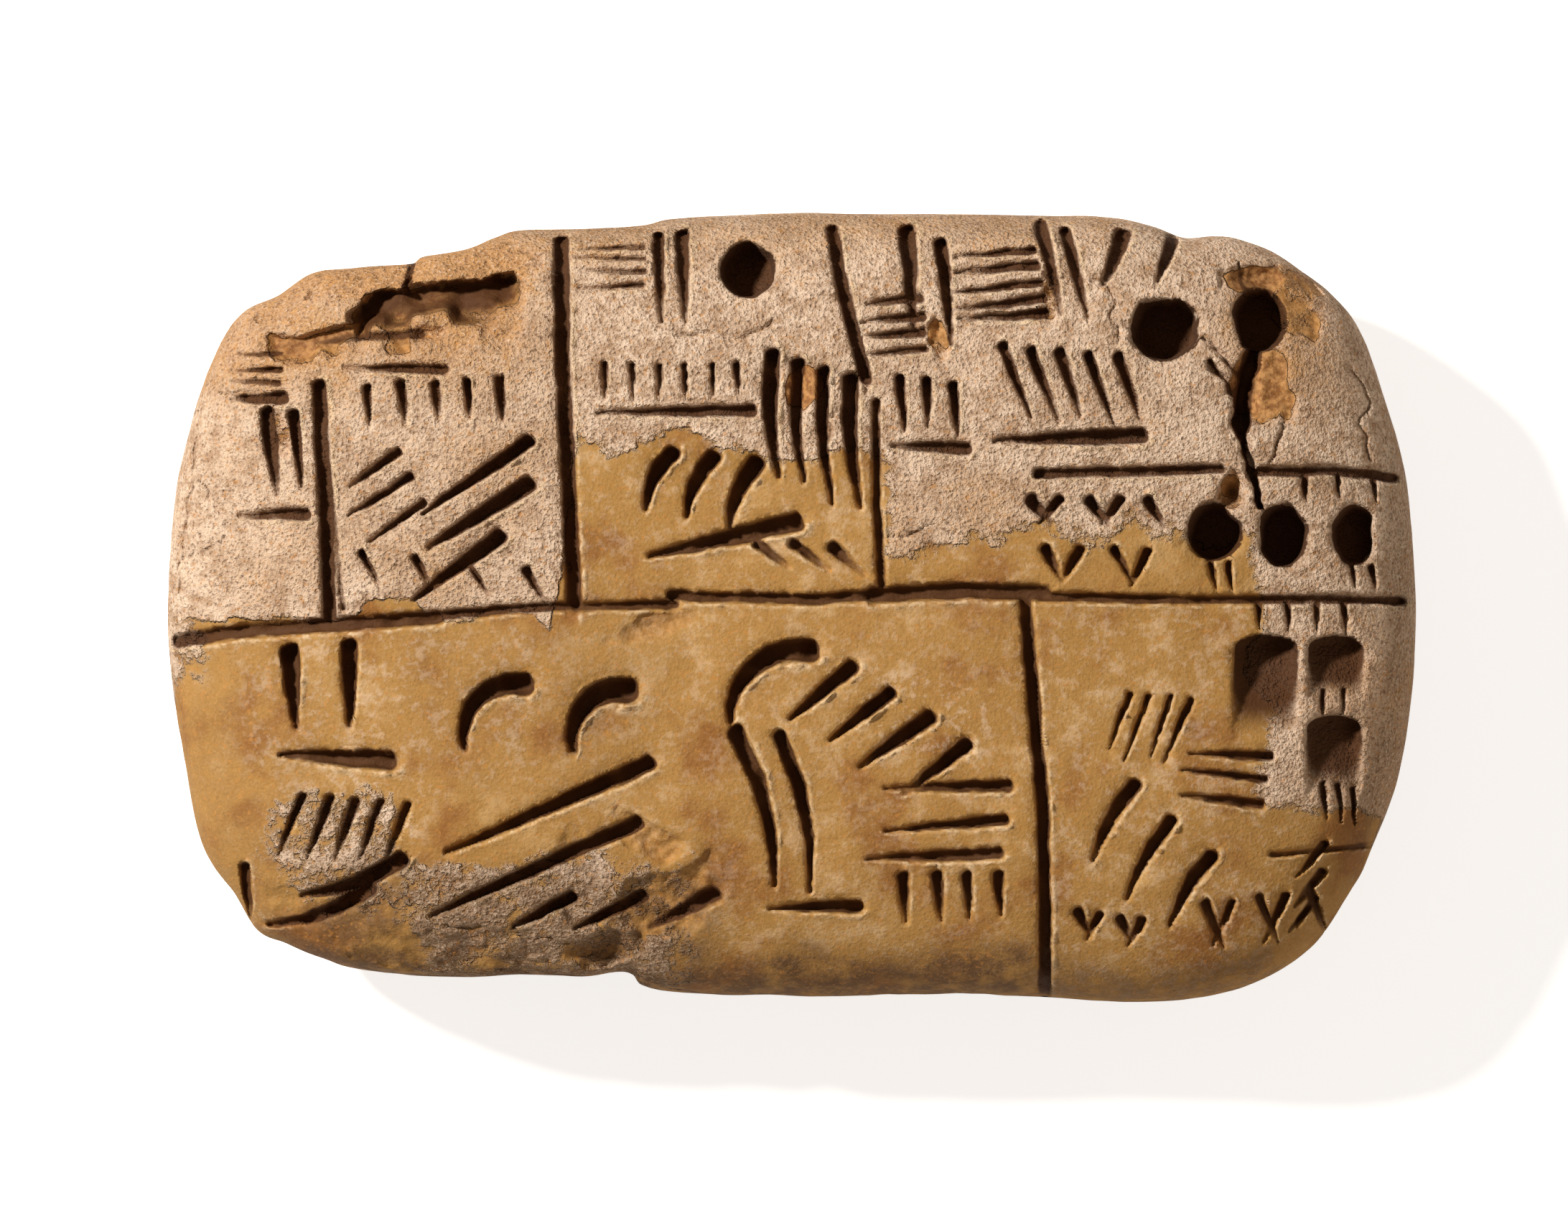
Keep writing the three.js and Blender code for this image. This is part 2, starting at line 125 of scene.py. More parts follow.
# What the stylus pressed in. Each stroke runs from its head to its tail: turn is its direction in
# degrees, bend is how far it curves on the way, and tail is how much of its breadth is left there.
# SPREAD and SINK make every width and depth given below a little greater, as the wet clay gave way.
SPREAD = 1.1
SINK = 1.3
DEGREES_A_STEP = 12
FEWEST_STEPS = 3


def stroke(start, turn, length, width, depth, bend=0, tail=0.4):
    steps = max(FEWEST_STEPS, math.ceil(abs(bend) / DEGREES_A_STEP))
    x, y = start
    stations = []
    for i in range(steps + 1):
        left = 1 - (1 - tail) * (i / steps) ** 2
        stations.append((x, y, SPREAD * width * left, SINK * depth * left))
        heading = math.radians(turn + bend * (i + 0.5) / steps)
        x += length / steps * math.cos(heading)
        y += length / steps * math.sin(heading)
    return stations


# No two strokes of a row are quite alike: how far each may shift, turn, lengthen and widen.
hand = np.random.default_rng(7)
HAND_SHIFT = 0.08
HAND_TURN = 3
HAND_LENGTH = 0.1
HAND_WIDTH = 0.14


def row(count, start, step, turn, length, width, **like):
    """Like strokes, each moved on by a step from the last and a little unlike it."""
    strokes = []
    for i in range(count):
        off_x, off_y, off_turn, off_length, off_width = hand.uniform(-1, 1, 5)
        head_x = start[0] + i * step[0] + HAND_SHIFT * off_x
        head_y = start[1] + i * step[1] + HAND_SHIFT * off_y
        own_length = length * (1 + HAND_LENGTH * off_length)
        own_width = width * (1 + HAND_WIDTH * off_width)
        strokes.append(stroke((head_x, head_y), turn + HAND_TURN * off_turn, own_length, own_width, **like))
    return strokes


def zigzag(count, start, step, turn, **like):
    """Like strokes, every second one leaning the other way."""
    strokes = []
    for i in range(count):
        place = (start[0] + i * step[0], start[1] + i * step[1])
        strokes += row(1, place, (0, 0), -180 - turn if i % 2 else turn, **like)
    return strokes


def ruled(width, depth, points):
    """A line of even width and depth, drawn through a few points."""
    return [(x, y, SPREAD * width, SINK * depth) for x, y in points]


rulings = [
    ruled(1, 0.7, [(-37.4, -2), (-33, -1.35), (-27, -0.95), (-21.5, -0.55)]),
    ruled(0.7, 0.6, [(-21.8, -0.55), (-15.5, 0.05), (-7.2, 0.2)]),
    ruled(0.8, 0.65, [(-7.3, 0.75), (1, 0.5), (5, 0.8)]),
    ruled(1.1, 0.8, [(4.8, 0.8), (10, 1.05), (15, 0.95)]),
    ruled(0.7, 0.6, [(14.8, 0.7), (22, 0.5), (28, 0.55), (36.9, 0.45)]),
    ruled(0.9, 0.8, [(14, 0.6), (14.5, -5.5), (15.05, -11.5), (15.2, -17), (15.3, -23.4)]),
    ruled(1.05, 0.9, [(-14, 22.2), (-13.9, 16), (-13.6, 9.5), (-13.15, 0.4)]),
    ruled(1, 0.85, [(-28.6, 13.4), (-28.2, 7), (-27.9, -0.6)]),
    ruled(0.45, 0.4, [(-27.8, 6.4), (-27.1, 0)]),
    ruled(0.9, 0.85, [(2.4, 22.9), (3.1, 19), (4.4, 13.9)]),
    ruled(0.65, 0.6, [(5, 12.4), (5.1, 6), (5.4, 1.5)]),
    ruled(0.75, 0.65, [(14.8, 8.1), (20, 8.25), (25.8, 8.4)]),
    ruled(0.75, 0.65, [(28.1, 8.2), (33, 8.3), (36.4, 7.9)]),
    ruled(0.45, 0.4, [(29, -14.9), (35.2, -14.4)]),
]

strokes = [
    # Upper left case.
    *row(3, (-31, 15.3), (0, -0.85), turn=178, length=2.9, width=0.5, depth=0.6),
    stroke((-30.7, 12.7), turn=181, length=3.2, width=0.95, depth=0.8),
    *row(2, (-31.8, 11.7), (1.7, 0), turn=-84, length=4.8, width=0.95, depth=0.9),
    stroke((-29.3, 5.7), turn=182, length=4, width=0.9, depth=0.7),
    # Under the broken corner.
    *row(2, (-22.4, 16.6), (1.5, -2.2), turn=182, length=6.4, width=0.7, depth=0.65),
    *row(5, (-25.6, 13.3), (2, 0.1), turn=-83, length=2.2, width=0.7, depth=0.7),
    # Slanting strokes.
    *row(3, (-23.7, 9.4), (0.75, -1.5), turn=214, length=4, width=0.7, depth=0.7),
    *row(2, (-15.9, 10), (0.1, -2.6), turn=212, length=7.6, width=1.05, depth=1.05),
    stroke((-17.6, 4.3), turn=216, length=6.4, width=1.05, depth=1.05),
    *row(4, (-26, 3.3), (3.3, -0.35), turn=-58, length=2.4, width=0.6, depth=0.65),
    # Second column.
    *row(4, (-8.9, 21.8), (0, -0.78), turn=181, length=3.9, width=0.45, depth=0.5),
    *row(2, (-8.1, 22.6), (1.3, 0), turn=-86, length=5.6, width=0.85, depth=0.85),
    *row(6, (-11.3, 14.6), (1.6, 0), turn=-87, length=2, width=0.5, depth=0.6),
    stroke((-2.3, 11.9), turn=181, length=9.4, width=0.85, depth=0.8),
    # Tall bowed strokes.
    *row(4, (-1.2, 15.2), (1.55, -0.5), turn=-98, bend=20, length=7.6, width=1, depth=1.05),
    *row(3, (-7.2, 9.4), (2.5, -0.3), turn=226, bend=44, length=3.9, width=1.25, depth=1.1),
    stroke((0.3, 5.2), turn=193, length=9, width=1.3, depth=1.05),
    *row(3, (-2.2, 3.9), (2.3, -0.1), turn=-38, length=2.6, width=0.75, depth=0.65),
    # Third column.
    *row(4, (7.8, 18.6), (0.1, -1), turn=184, length=3.5, width=0.7, depth=0.65),
    *row(2, (7, 22.8), (2, -0.7), turn=-84, length=6, width=1, depth=1.05),
    *row(3, (6.5, 13.9), (1.6, -0.2), turn=-86, length=3, width=0.75, depth=0.8),
    stroke((10.5, 9.6), turn=178, length=4.4, width=0.95, depth=0.85),
    # Fourth column.
    *row(5, (14.7, 21.6), (0.15, -0.95), turn=187, length=5.2, width=0.7, depth=0.65),
    *row(2, (15.1, 23.2), (1.5, -0.4), turn=-78, length=5.2, width=0.85, depth=0.85),
    *row(5, (12.6, 15.7), (1.75, -0.15), turn=-70, length=4.4, width=0.75, depth=0.8),
    stroke((21.1, 10.4), turn=182, length=8.8, width=1.1, depth=1),
    # Upper right corner.
    *row(2, (20, 22.7), (3.2, -0.2), turn=246, length=3.1, width=1, depth=1),
    # Middle right.
    *zigzag(5, (14.4, 6.5), (1.75, 0), turn=-52, length=1.9, width=0.85, depth=0.8),
    *zigzag(4, (15.3, 3.5), (2.05, 0), turn=-62, length=2.1, width=0.75, depth=0.7),
    *row(3, (30.9, 7.9), (2.15, 0), turn=-86, length=1.4, width=0.5, depth=0.65),
    *row(2, (25.2, 2.6), (1.1, 0), turn=-78, length=1.6, width=0.5, depth=0.6),
    *row(2, (33.8, 2.5), (1.1, 0), turn=-78, length=1.4, width=0.5, depth=0.6),
    # Lower left.
    *row(2, (-30.4, -2.6), (3.6, 0.3), turn=-88, length=4.6, width=1.25, depth=1.15),
    stroke((-24.2, -9.2), turn=177, length=6.6, width=1.25, depth=1.05),
    *row(5, (-29.6, -11.4), (1.6, -0.1), turn=250, length=3.7, width=0.7, depth=0.65),
    *row(2, (-23.6, -15.2), (-1.9, -1.7), turn=214, bend=-30, length=6.4, width=1.1, depth=1.05),
    stroke((-33.2, -15.7), turn=-86, length=3.4, width=0.75, depth=0.8),
    # Lower middle left.
    *row(2, (-16, -4.6), (6.2, -0.4), turn=168, bend=116, length=6, width=1.45, depth=1.3),
    *row(2, (-8.6, -9.4), (-0.6, -3.5), turn=202, length=13.4, width=1.05, depth=1.05),
    *row(3, (-13.3, -17.4), (4.3, 0.1), turn=207, length=4, width=1, depth=1),
    # Lower middle.
    stroke((1.2, -2.6), turn=168, bend=104, length=7.4, width=1.45, depth=1.3),
    *row(2, (-3.4, -7.4), (2.7, -0.4), turn=-62, bend=-32, length=9.6, width=1.05, depth=1.05),
    *row(4, (3.6, -3.6), (2.3, -1.5), turn=218, length=4.8, width=1, depth=1),
    stroke((4, -18), turn=181, length=5.2, width=0.95, depth=0.9),
    *row(3, (13.1, -10.7), (-0.3, -2), turn=183, length=7.4, width=0.85, depth=0.8),
    *row(4, (6.7, -16.1), (1.9, 0), turn=-84, length=2.6, width=0.85, depth=0.7),
    # Right edge.
    *row(4, (28.2, 0.3), (1.7, 0), turn=-87, length=1.7, width=0.5, depth=0.65),
    *row(2, (32.1, -5), (1.15, 0), turn=-88, length=1.6, width=0.5, depth=0.6),
    *row(3, (32, -10.7), (0.95, -0.1), turn=-86, length=2.1, width=0.5, depth=0.6),
    # Lower right.
    *row(4, (20.3, -5.2), (1.2, -0.1), turn=250, length=3.9, width=0.5, depth=0.6),
    *row(3, (28.9, -8.9), (-0.3, -1.5), turn=176, length=5, width=0.7, depth=0.7),
    *row(3, (20.6, -10.6), (2.3, -2.2), turn=228, bend=24, length=5.2, width=0.95, depth=0.9),
    *zigzag(4, (17.2, -18.3), (1.3, -0.2), turn=-62, length=1.7, width=0.75, depth=0.7),
    *row(3, (32.2, -14.2), (-0.2, -1.7), turn=232, length=2.4, width=0.7, depth=0.65),
    *zigzag(5, (25, -17.9), (1.6, 0.15), turn=-66, length=2.9, width=0.7, depth=0.65),
]

# Counting marks: middle, half sizes and depth of each round hole, then the direction in which
# its rim runs flat and how far out the flat is, as a share of the half size.
counting_marks = [
    (-2.7, 20.4, 1.75, 1.8, 3.2, 60, 0.9),
    (22.5, 16.9, 2.15, 2.1, 3.6, 97, 0.84),
    (28.2, 17.4, 1.8, 2.05, 3.4, 200, 0.85),
    (25.5, 4.6, 1.75, 1.85, 3.4, 45, 0.88),
    (29.6, 4.4, 1.6, 1.95, 3.4, 180, 0.86),
    (34, 4.4, 1.4, 1.9, 3.2, 0, 0.84),
]

# Scoops: head, length, radius and depth of the round stylus held low.
scoops = [(28.6, -1.6, 6.6, 2, 2.1), (32.9, -1.7, 4.2, 1.8, 1.9), (32.8, -6.5, 5.2, 1.75, 1.9)]

# Cracks from drying: width, depth and course.
cracks = [
    (1.15, 2.2, [(27.9, 15.4), (27.4, 13.9), (27.1, 12.4), (27.1, 10.8)]),
    (0.65, 1.6, [(27.1, 10.8), (27.5, 8.8), (28.3, 6.2)]),
    (0.5, 0.8, [(25.2, 14.8), (26.2, 13.4), (26.9, 12.4)]),
    (0.3, 0.5, [(24.7, 16.3), (25.7, 15.3), (26.9, 14)]),
    (0.22, 0.3, [(29.6, 13.4), (29.9, 11.6), (29.6, 10.2), (28.7, 8.5)]),
    (0.2, 0.28, [(33.9, 14.4), (34.9, 12.6), (34.4, 11), (34.9, 9)]),
    (0.2, 0.28, [(15.5, 19.9), (18.4, 19.8), (19.3, 19), (19.5, 16.2)]),
    (0.18, 0.24, [(-7, 16.2), (-4.6, 16.6), (-3, 16.3), (-1, 17.3)]),
    (0.18, 0.24, [(-36.2, 12), (-36.3, 8), (-36.9, 4), (-37.3, 1)]),
    (0.16, 0.22, [(-36, 7.6), (-34, 5), (-35.5, 3.4), (-36.9, 3)]),
    (0.5, 0.9, [(-23.3, 21.3), (-23.1, 20.2), (-23.5, 19)]),
    (0.4, 0.5, [(1.6, 12.4), (2.3, 11.2), (2, 9.8)]),
    (0.16, 0.22, [(5.6, 4.2), (8.5, 4.9), (10.2, 4.4)]),
    (0.3, 0.5, [(26.9, 20.8), (27.2, 19.9), (27.6, 19)]),
    (0.25, 0.35, [(-21, -19.3), (-17, -19.7), (-13.5, -20.2)]),
    (0.2, 0.3, [(-34.6, 13), (-32.5, 13.2), (-31, 12.9)]),
]

# Breaks: middle, half sizes, turn and depth of each lost flake, and how fresh and brown it is.
breaks = [
    (-24.6, 18.2, 1.5, 1, 20, 1.6, 1),
    (-20.4, 16.9, 1.6, 1.4, 4, 0.5, 0.1),
    (-17.6, 16.9, 1.3, 1.5, 0, 0.5, 0.1),
    (-23.7, 16.1, 0.9, 1.2, 0, 0.6, 0.6),
    (-25.5, 19.9, 4.4, 1.2, 8, 0.6, 0.3),
    (-18.5, 20.6, 3.6, 1.2, 8, 0.5, 0.3),
    (-30.5, 18.6, 3, 1.3, 28, 0.4, 0.3),
    (-33.2, 15.7, 1.6, 2, 30, 0.35, 0.3),
    (28.9, 13.4, 1.5, 2.2, 0, 0.5, 0.9),
    (27.5, 13.8, 0.9, 1.8, 0, 1.9, 1),
    (30.5, 18.6, 1.5, 2.3, 30, 0.7, 0.6),
    (28.2, 19.8, 2, 0.9, 0, 1.1, 0.9),
    (26.5, 7, 0.9, 1.1, -20, 1.6, 0.6),
    (0.6, 13.2, 1.1, 1.3, 0, 0.4, 1),
    (-8.3, -1.1, 2.4, 0.7, 14, 0.4, 0.3),
    (-8.5, -14.2, 2.4, 1, -35, 0.8, 0.2),
    (-7.5, -17.6, 3.4, 1.8, 25, 0.8, 0.3),
    (-12.6, -16.4, 1.6, 3, 10, 0.5, 0),
    (-11.3, -20.6, 2.6, 1, 14, 1.2, 0.3),
    (-19.5, -20.9, 7, 1.3, -2, 0.6, 0),
    (-28, -19, 3.5, 1.2, -24, 0.4, 0),
    (8.9, 16.4, 0.6, 1.3, 8, 0.8, 0.7),
    (15.6, 18.8, 0.5, 1.7, 0, 0.7, 0.5),
    (-30.9, 10.4, 0.6, 1.8, 10, 0.5, 0.4),
]

# Ledges where a layer of the face broke away: how far the hollow below reaches, its depth, and the
# course of the standing edge above it.
ledges = [
    (3.1, 2.1, [(-26.8, 18), (-25.2, 19.3), (-23.3, 19.4), (-20.4, 19.9), (-17, 20.3), (-16.2, 19.7)]),
    (1.8, 1, [(-32.2, 16.8), (-29.6, 16.4), (-26.6, 17.2), (-24.9, 17.7)]),
]
LEDGE_END = 0.8
LEDGE_WALL = 0.25
LEDGE_SLOPE = 2.2

# The stylus was held over to one side, which left one wall of each stroke steeper than the other. The
# steep wall's edge has a raised lip of pushed-up clay, and the other edge is drawn down a little.
STEEP_SIDE = np.array([0.78, -0.62])
VALLEY_SHIFT = 0.42
WALL_STEEPNESS = 1.9
HEAD_STEEPNESS = 1.3
TAIL_STEEPNESS = 0.7
LIP = 0.1
LIP_CLOSENESS = 5.5
LIP_UNEVENNESS = 0.8
SHOULDER = 0.14
SHOULDER_CLOSENESS = 2.5
DEPTH_UNEVENNESS = 0.22
LINE_REACH = 1.6


def press_line(sunk, lip, x, y, unevenness, stations):
    """Presses one stroke or line with a V section into the depths at points x, y."""
    last = len(stations) - 2
    for i, ((xa, ya, wa, da), (xb, yb, wb, db)) in enumerate(zip(stations, stations[1:])):
        reach = LINE_REACH * max(wa, wb)
        inside = (x > min(xa, xb) - reach) & (x < max(xa, xb) + reach)
        inside &= (y > min(ya, yb) - reach) & (y < max(ya, yb) + reach)
        close = np.nonzero(inside)[0]
        run = math.hypot(xb - xa, yb - ya)
        ux, uy = (xb - xa) / run, (yb - ya) / run
        along = (x[close] - xa) * ux + (y[close] - ya) * uy
        across = (y[close] - ya) * ux - (x[close] - xa) * uy
        share = np.clip(along / run, 0, 1)
        half = (wa + (wb - wa) * share) / 2
        depth = (da + (db - da) * share) * (1 + DEPTH_UNEVENNESS * unevenness[close])
        shift = VALLEY_SHIFT * (STEEP_SIDE[1] * ux - STEEP_SIDE[0] * uy)
        side = across / half - shift
        q = np.where(side > 0, side / (1 - shift), -side / (1 + shift))
        before_head = np.maximum(-along, 0) * (HEAD_STEEPNESS if i == 0 else 1)
        past_tail = np.maximum(along - run, 0) * (TAIL_STEEPNESS if i == last else 1)
        q = np.hypot(q, (before_head + past_tail) / half)
        sunk[close] = np.maximum(sunk[close], depth * np.minimum(WALL_STEEPNESS * (1 - q), 1))
        out = np.maximum(q - 1, 0)
        steep_side = side * shift > 0
        raised = LIP * (1 + LIP_UNEVENNESS * unevenness[close]) * LIP_CLOSENESS * out
        raised *= np.exp(1 - LIP_CLOSENESS * out)
        eased = -SHOULDER * np.exp(-SHOULDER_CLOSENESS * out)
        change = depth * np.where(steep_side, raised, eased)
        bigger = np.abs(change) > np.abs(lip[close])
        lip[close] = np.where(bigger, change, lip[close])


MARK_WALL = 0.12
MARK_WALL_EASED = 0.3
MARK_WALL_CURVE = 0.8
MARK_DISHING = 0.12


def press_round_mark(sunk, x, y, mark):
    """Sinks one hole, steep on the side that the stylus leaned to and easier on the other."""
    mark_x, mark_y, half_x, half_y, depth, flat_turn, flat = mark
    px, py = (x - mark_x) / half_x, (y - mark_y) / half_y
    close = np.nonzero(np.hypot(px, py) < 1)[0]
    px, py = px[close], py[close]
    flat_turn = math.radians(flat_turn)
    q = np.maximum(np.hypot(px, py), (px * math.cos(flat_turn) + py * math.sin(flat_turn)) / flat)
    away = np.clip((py * STEEP_SIDE[1] + px * STEEP_SIDE[0]) / np.maximum(q, 0.1), -1, 1)
    wall = MARK_WALL + MARK_WALL_EASED * (1 - away) / 2
    drop = np.clip((1 - q) / wall, 0, 1) ** MARK_WALL_CURVE
    sunk[close] = np.maximum(sunk[close], depth * drop * (1 - MARK_DISHING * q * q))


HEAD_ROUNDING = 0.9


def press_scoop(sunk, x, y, scoop):
    """Sinks one slanting half-round mark, deep at its head."""
    head_x, head_y, length, radius, depth = scoop
    back = head_y - y
    bottom = depth * np.clip(1 - back / length, 0, 1)
    before_head = np.clip(1 - back / HEAD_ROUNDING, 0, None)
    out = np.clip(np.hypot((x - head_x) / radius, before_head), 0, 1)
    sunk[:] = np.maximum(sunk, bottom * np.sqrt(1 - out**4))


LEDGE_REACH_UNEVENNESS = 0.35
LEDGE_DEPTH_UNEVENNESS = 0.25


def press_ledge(sunk, broken, x, y, uneven, ledge):
    """Sinks the hollow under one broken ledge, deepest at the ledge's foot."""
    reach, depth, course = ledge
    edge_x, edge_y = np.array(course).T
    below = np.interp(x, edge_x, edge_y) - y
    ends = np.clip(np.minimum(x - edge_x[0], edge_x[-1] - x) / LEDGE_END, 0, 1)
    fall = np.clip(below / LEDGE_WALL, 0, 1) * ends
    slope = np.clip(LEDGE_SLOPE * (1 - below / (reach * (1 + LEDGE_REACH_UNEVENNESS * uneven))), 0, 1)
    sunk[:] = np.maximum(sunk, depth * fall * slope * (1 + LEDGE_DEPTH_UNEVENNESS * uneven))
    broken[:] = np.maximum(broken, fall * slope)


# How far the edges of strokes, cracks and breaks stray from their plain outlines.
FINE_WOBBLE = 0.06
WIDE_WOBBLE = 0.07
CRACK_WOBBLE = 0.28
BREAK_EDGE = 1.15
BREAK_HOLLOWING = 0.6
BREAK_ROUGHNESS = 0.16
# A break's hollow gets this share of the painted shade that pressed marks get.
BREAK_PAINTED_SHADE = 0.33


def carve(points):
    """How far each face point is sunk, how much painted shade it gets, how far its lip stands, how freshly it
    broke.
    """
    x = points[:, 0] + FINE_WOBBLE * lumps(points, 0.42, 11) + WIDE_WOBBLE * lumps(points, 1.1, 12)
    y = points[:, 1] + FINE_WOBBLE * lumps(points, 0.42, 13) + WIDE_WOBBLE * lumps(points, 1.1, 14)
    unevenness = lumps(points, 0.9, 15)
    sunk = np.zeros(len(points))
    lip = np.zeros(len(points))
    for stations in rulings + strokes:
        press_line(sunk, lip, x, y, unevenness, stations)
    wild_x = points[:, 0] + CRACK_WOBBLE * lumps(points, 0.8, 16)
    wild_y = points[:, 1] + CRACK_WOBBLE * lumps(points, 0.8, 17)
    for mark in counting_marks:
        press_round_mark(sunk, (x + wild_x) / 2, (y + wild_y) / 2, mark)
    for scoop in scoops:
        press_scoop(sunk, x, y, scoop)
    for width, depth, course in cracks:
        stations = [(crack_x, crack_y, width, depth) for crack_x, crack_y in course]
        press_line(sunk, np.zeros(len(points)), wild_x, wild_y, unevenness, stations)
    pressed = sunk.copy()
    broken = np.zeros(len(points))
    for ledge in ledges:
        press_ledge(sunk, broken, wild_x, wild_y, lumps(points, 1.3, 24), ledge)
    jagged = 0.3 * lumps(points, 1.6, 18) + 0.25 * lumps(points, 0.7, 19)
    rough = lumps(points, 0.4, 20) + lumps(points, 0.9, 21)
    for break_x, break_y, half_x, half_y, turn, depth, fresh in breaks:
        c, s = math.cos(math.radians(turn)), math.sin(math.radians(turn))
        px, py = points[:, 0] - break_x, points[:, 1] - break_y
        q = np.hypot((px * c + py * s) / half_x, (py * c - px * s) / half_y) + jagged
        hollow = np.clip(BREAK_EDGE - q, 0, 1)
        uneven_floor = BREAK_ROUGHNESS * math.sqrt(depth) * rough * np.minimum(4 * hollow, 1)
        sunk = np.maximum(sunk, depth * hollow**BREAK_HOLLOWING + uneven_floor)
        broken = np.maximum(broken, fresh * np.clip(hollow * 4, 0, 1))
    crumbs = np.clip(1 + 1.2 * lumps(points, 0.4, 22) + 0.6 * lumps(points, 1, 23), 0.1, 2.4)
    lip = np.where(lip > 0, lip * crumbs, lip)
    # Painted shade: the full depth of pressed marks, and a share of the breaks' depth.
    painted_shade = pressed + BREAK_PAINTED_SHADE * (sunk - pressed)
    return sunk, painted_shade, np.where(sunk > 0, 0, lip), broken


# The mesh: a fine grid for the face, with rings drawn down from its edge round the rim to the back.
FACE_CELLS = (620, 400)
BACK_RINGS = 56
RIM_SHARE_OF_CELLS = 0.2
RIM_TURN = math.asin(FLAT_SHARE ** (PLUMPNESS / 2))
CHIP_REACH = 16  # the higher, the closer a chipped edge stays to the rim
BACK_CLOSING = 0.97  # the rings stop a little short of the middle of the back, where one face closes it
CARVED_MARGIN = 1
TRIANGLES = 188000

bm = bmesh.new()
bmesh.ops.create_grid(bm, x_segments=FACE_CELLS[0], y_segments=FACE_CELLS[1], size=1)
edge_loop = [edge for edge in bm.edges if edge.is_boundary]
for ring in range(BACK_RINGS):
    drawn = bmesh.ops.extrude_edge_only(bm, edges=edge_loop)["geom"]
    for vert in drawn:
        if isinstance(vert, bmesh.types.BMVert):
            vert.co.z = -1 - ring
    edge_loop = [e for e in drawn if isinstance(e, bmesh.types.BMEdge) and e.is_boundary]
bmesh.ops.contextual_create(bm, geom=edge_loop)
bmesh.ops.recalc_face_normals(bm, faces=bm.faces)
raw_mesh = bpy.data.meshes.new("tablet_raw")
bm.to_mesh(raw_mesh)
bm.free()

grid = np.empty(len(raw_mesh.vertices) * 3)
raw_mesh.vertices.foreach_get("co", grid)
grid = grid.reshape(-1, 3)
angle = np.arctan2(grid[:, 1] * WIDTH, grid[:, 0] * LENGTH)
inward = np.maximum(np.abs(grid[:, 0]), np.abs(grid[:, 1]))
ring = -grid[:, 2]
on_face = ring < 0.5
rim_progress = np.clip((inward - 1 + RIM_SHARE_OF_CELLS) / RIM_SHARE_OF_CELLS, 0, 1)
face_turn = RIM_TURN + (math.pi / 2 - RIM_TURN) * rim_progress
turn = np.where(on_face, face_turn, math.pi / 2 * (1 - BACK_CLOSING * ring / BACK_RINGS))
share = np.sin(turn) ** (2 / PLUMPNESS)
share = np.where(on_face & (rim_progress == 0), FLAT_SHARE * inward / (1 - RIM_SHARE_OF_CELLS), share)
rise = (1 - share**PLUMPNESS) ** (1 / PLUMPNESS)
whole_radius = rim_radius(CUSHION, angle)
chip_depth = whole_radius - rim_radius(CHIPPED, angle)
radius = share * whole_radius - share**CHIP_REACH * chip_depth
height = GIRTH_HEIGHT + rise * np.where(on_face, FACE_RISE, -BACK_DROP)
points = np.column_stack([radius * np.cos(angle), radius * np.sin(angle), height])

# The hand-made cushion's unevenness, with the whole then fitted to the solid's box.
LIP_ROOM = 0.15
BOX_GAP = 0.02
outward = np.column_stack([
    share ** (PLUMPNESS - 1) * np.cos(angle) / whole_radius,
    share ** (PLUMPNESS - 1) * np.sin(angle) / whole_radius,
    rise ** (PLUMPNESS - 1) * np.where(on_face, 1 / FACE_RISE, -1 / BACK_DROP),
])
outward /= np.linalg.norm(outward, axis=1)[:, None]
bumps = 0.17 * lumps(points, 7, 1) + 0.08 * lumps(points, 2.4, 2) + 0.02 * lumps(points, 0.9, 3)
points += outward * bumps[:, None]
points[:, 2] = np.maximum(points[:, 2], 0)
box_low = np.array(tablet_low) / MM + (BOX_GAP, BOX_GAP, 0)
box_high = np.array(tablet_high) / MM - BOX_GAP
low, high = points.min(axis=0), points.max(axis=0)
points = box_low + (points - low) * (box_high - (0, 0, LIP_ROOM) - box_low) / (high - low)

carved = on_face & (points[:, 2] > GIRTH_HEIGHT + CARVED_MARGIN)
sunk, _, lip, _ = carve(points)
points[:, 2] = np.minimum(points[:, 2] + np.where(carved, lip - sunk, 0), box_high[2])
raw_mesh.vertices.foreach_set("co", (points * MM).ravel())
raw_mesh.update()

raw_tablet = bpy.data.objects.new("tablet_raw", raw_mesh)
bpy.context.collection.objects.link(raw_tablet)
thinning = raw_tablet.modifiers.new("thinning", "DECIMATE")
raw_triangles = sum(len(p.vertices) - 2 for p in raw_mesh.polygons)
thinning.ratio = TRIANGLES / raw_triangles
bpy.context.view_layer.update()
thinned = raw_tablet.evaluated_get(bpy.context.evaluated_depsgraph_get())
tablet_mesh = bpy.data.meshes.new_from_object(thinned)
tablet_mesh.name = "clay_tablet"
bpy.data.objects.remove(raw_tablet)
bpy.data.meshes.remove(raw_mesh)

clay_tablet = bpy.data.objects.new("clay_tablet", tablet_mesh)
bpy.context.collection.objects.link(clay_tablet)
tablet_mesh.shade_smooth()

# Masks for the clay's finish and for its painted shade and highlights, worked out again at the vertices that
# are left.
co = np.empty(len(tablet_mesh.vertices) * 3)
tablet_mesh.vertices.foreach_get("co", co)
co = co.reshape(-1, 3) / MM
_, painted_shade, lip, broken = carve(co)
on_top = np.clip((co[:, 2] - GIRTH_HEIGHT - CARVED_MARGIN) / 2, 0, 1)


def soft_step(value, start, end):
    t = np.clip((value - start) / (end - start), 0, 1)
    return t * t * (3 - 2 * t)


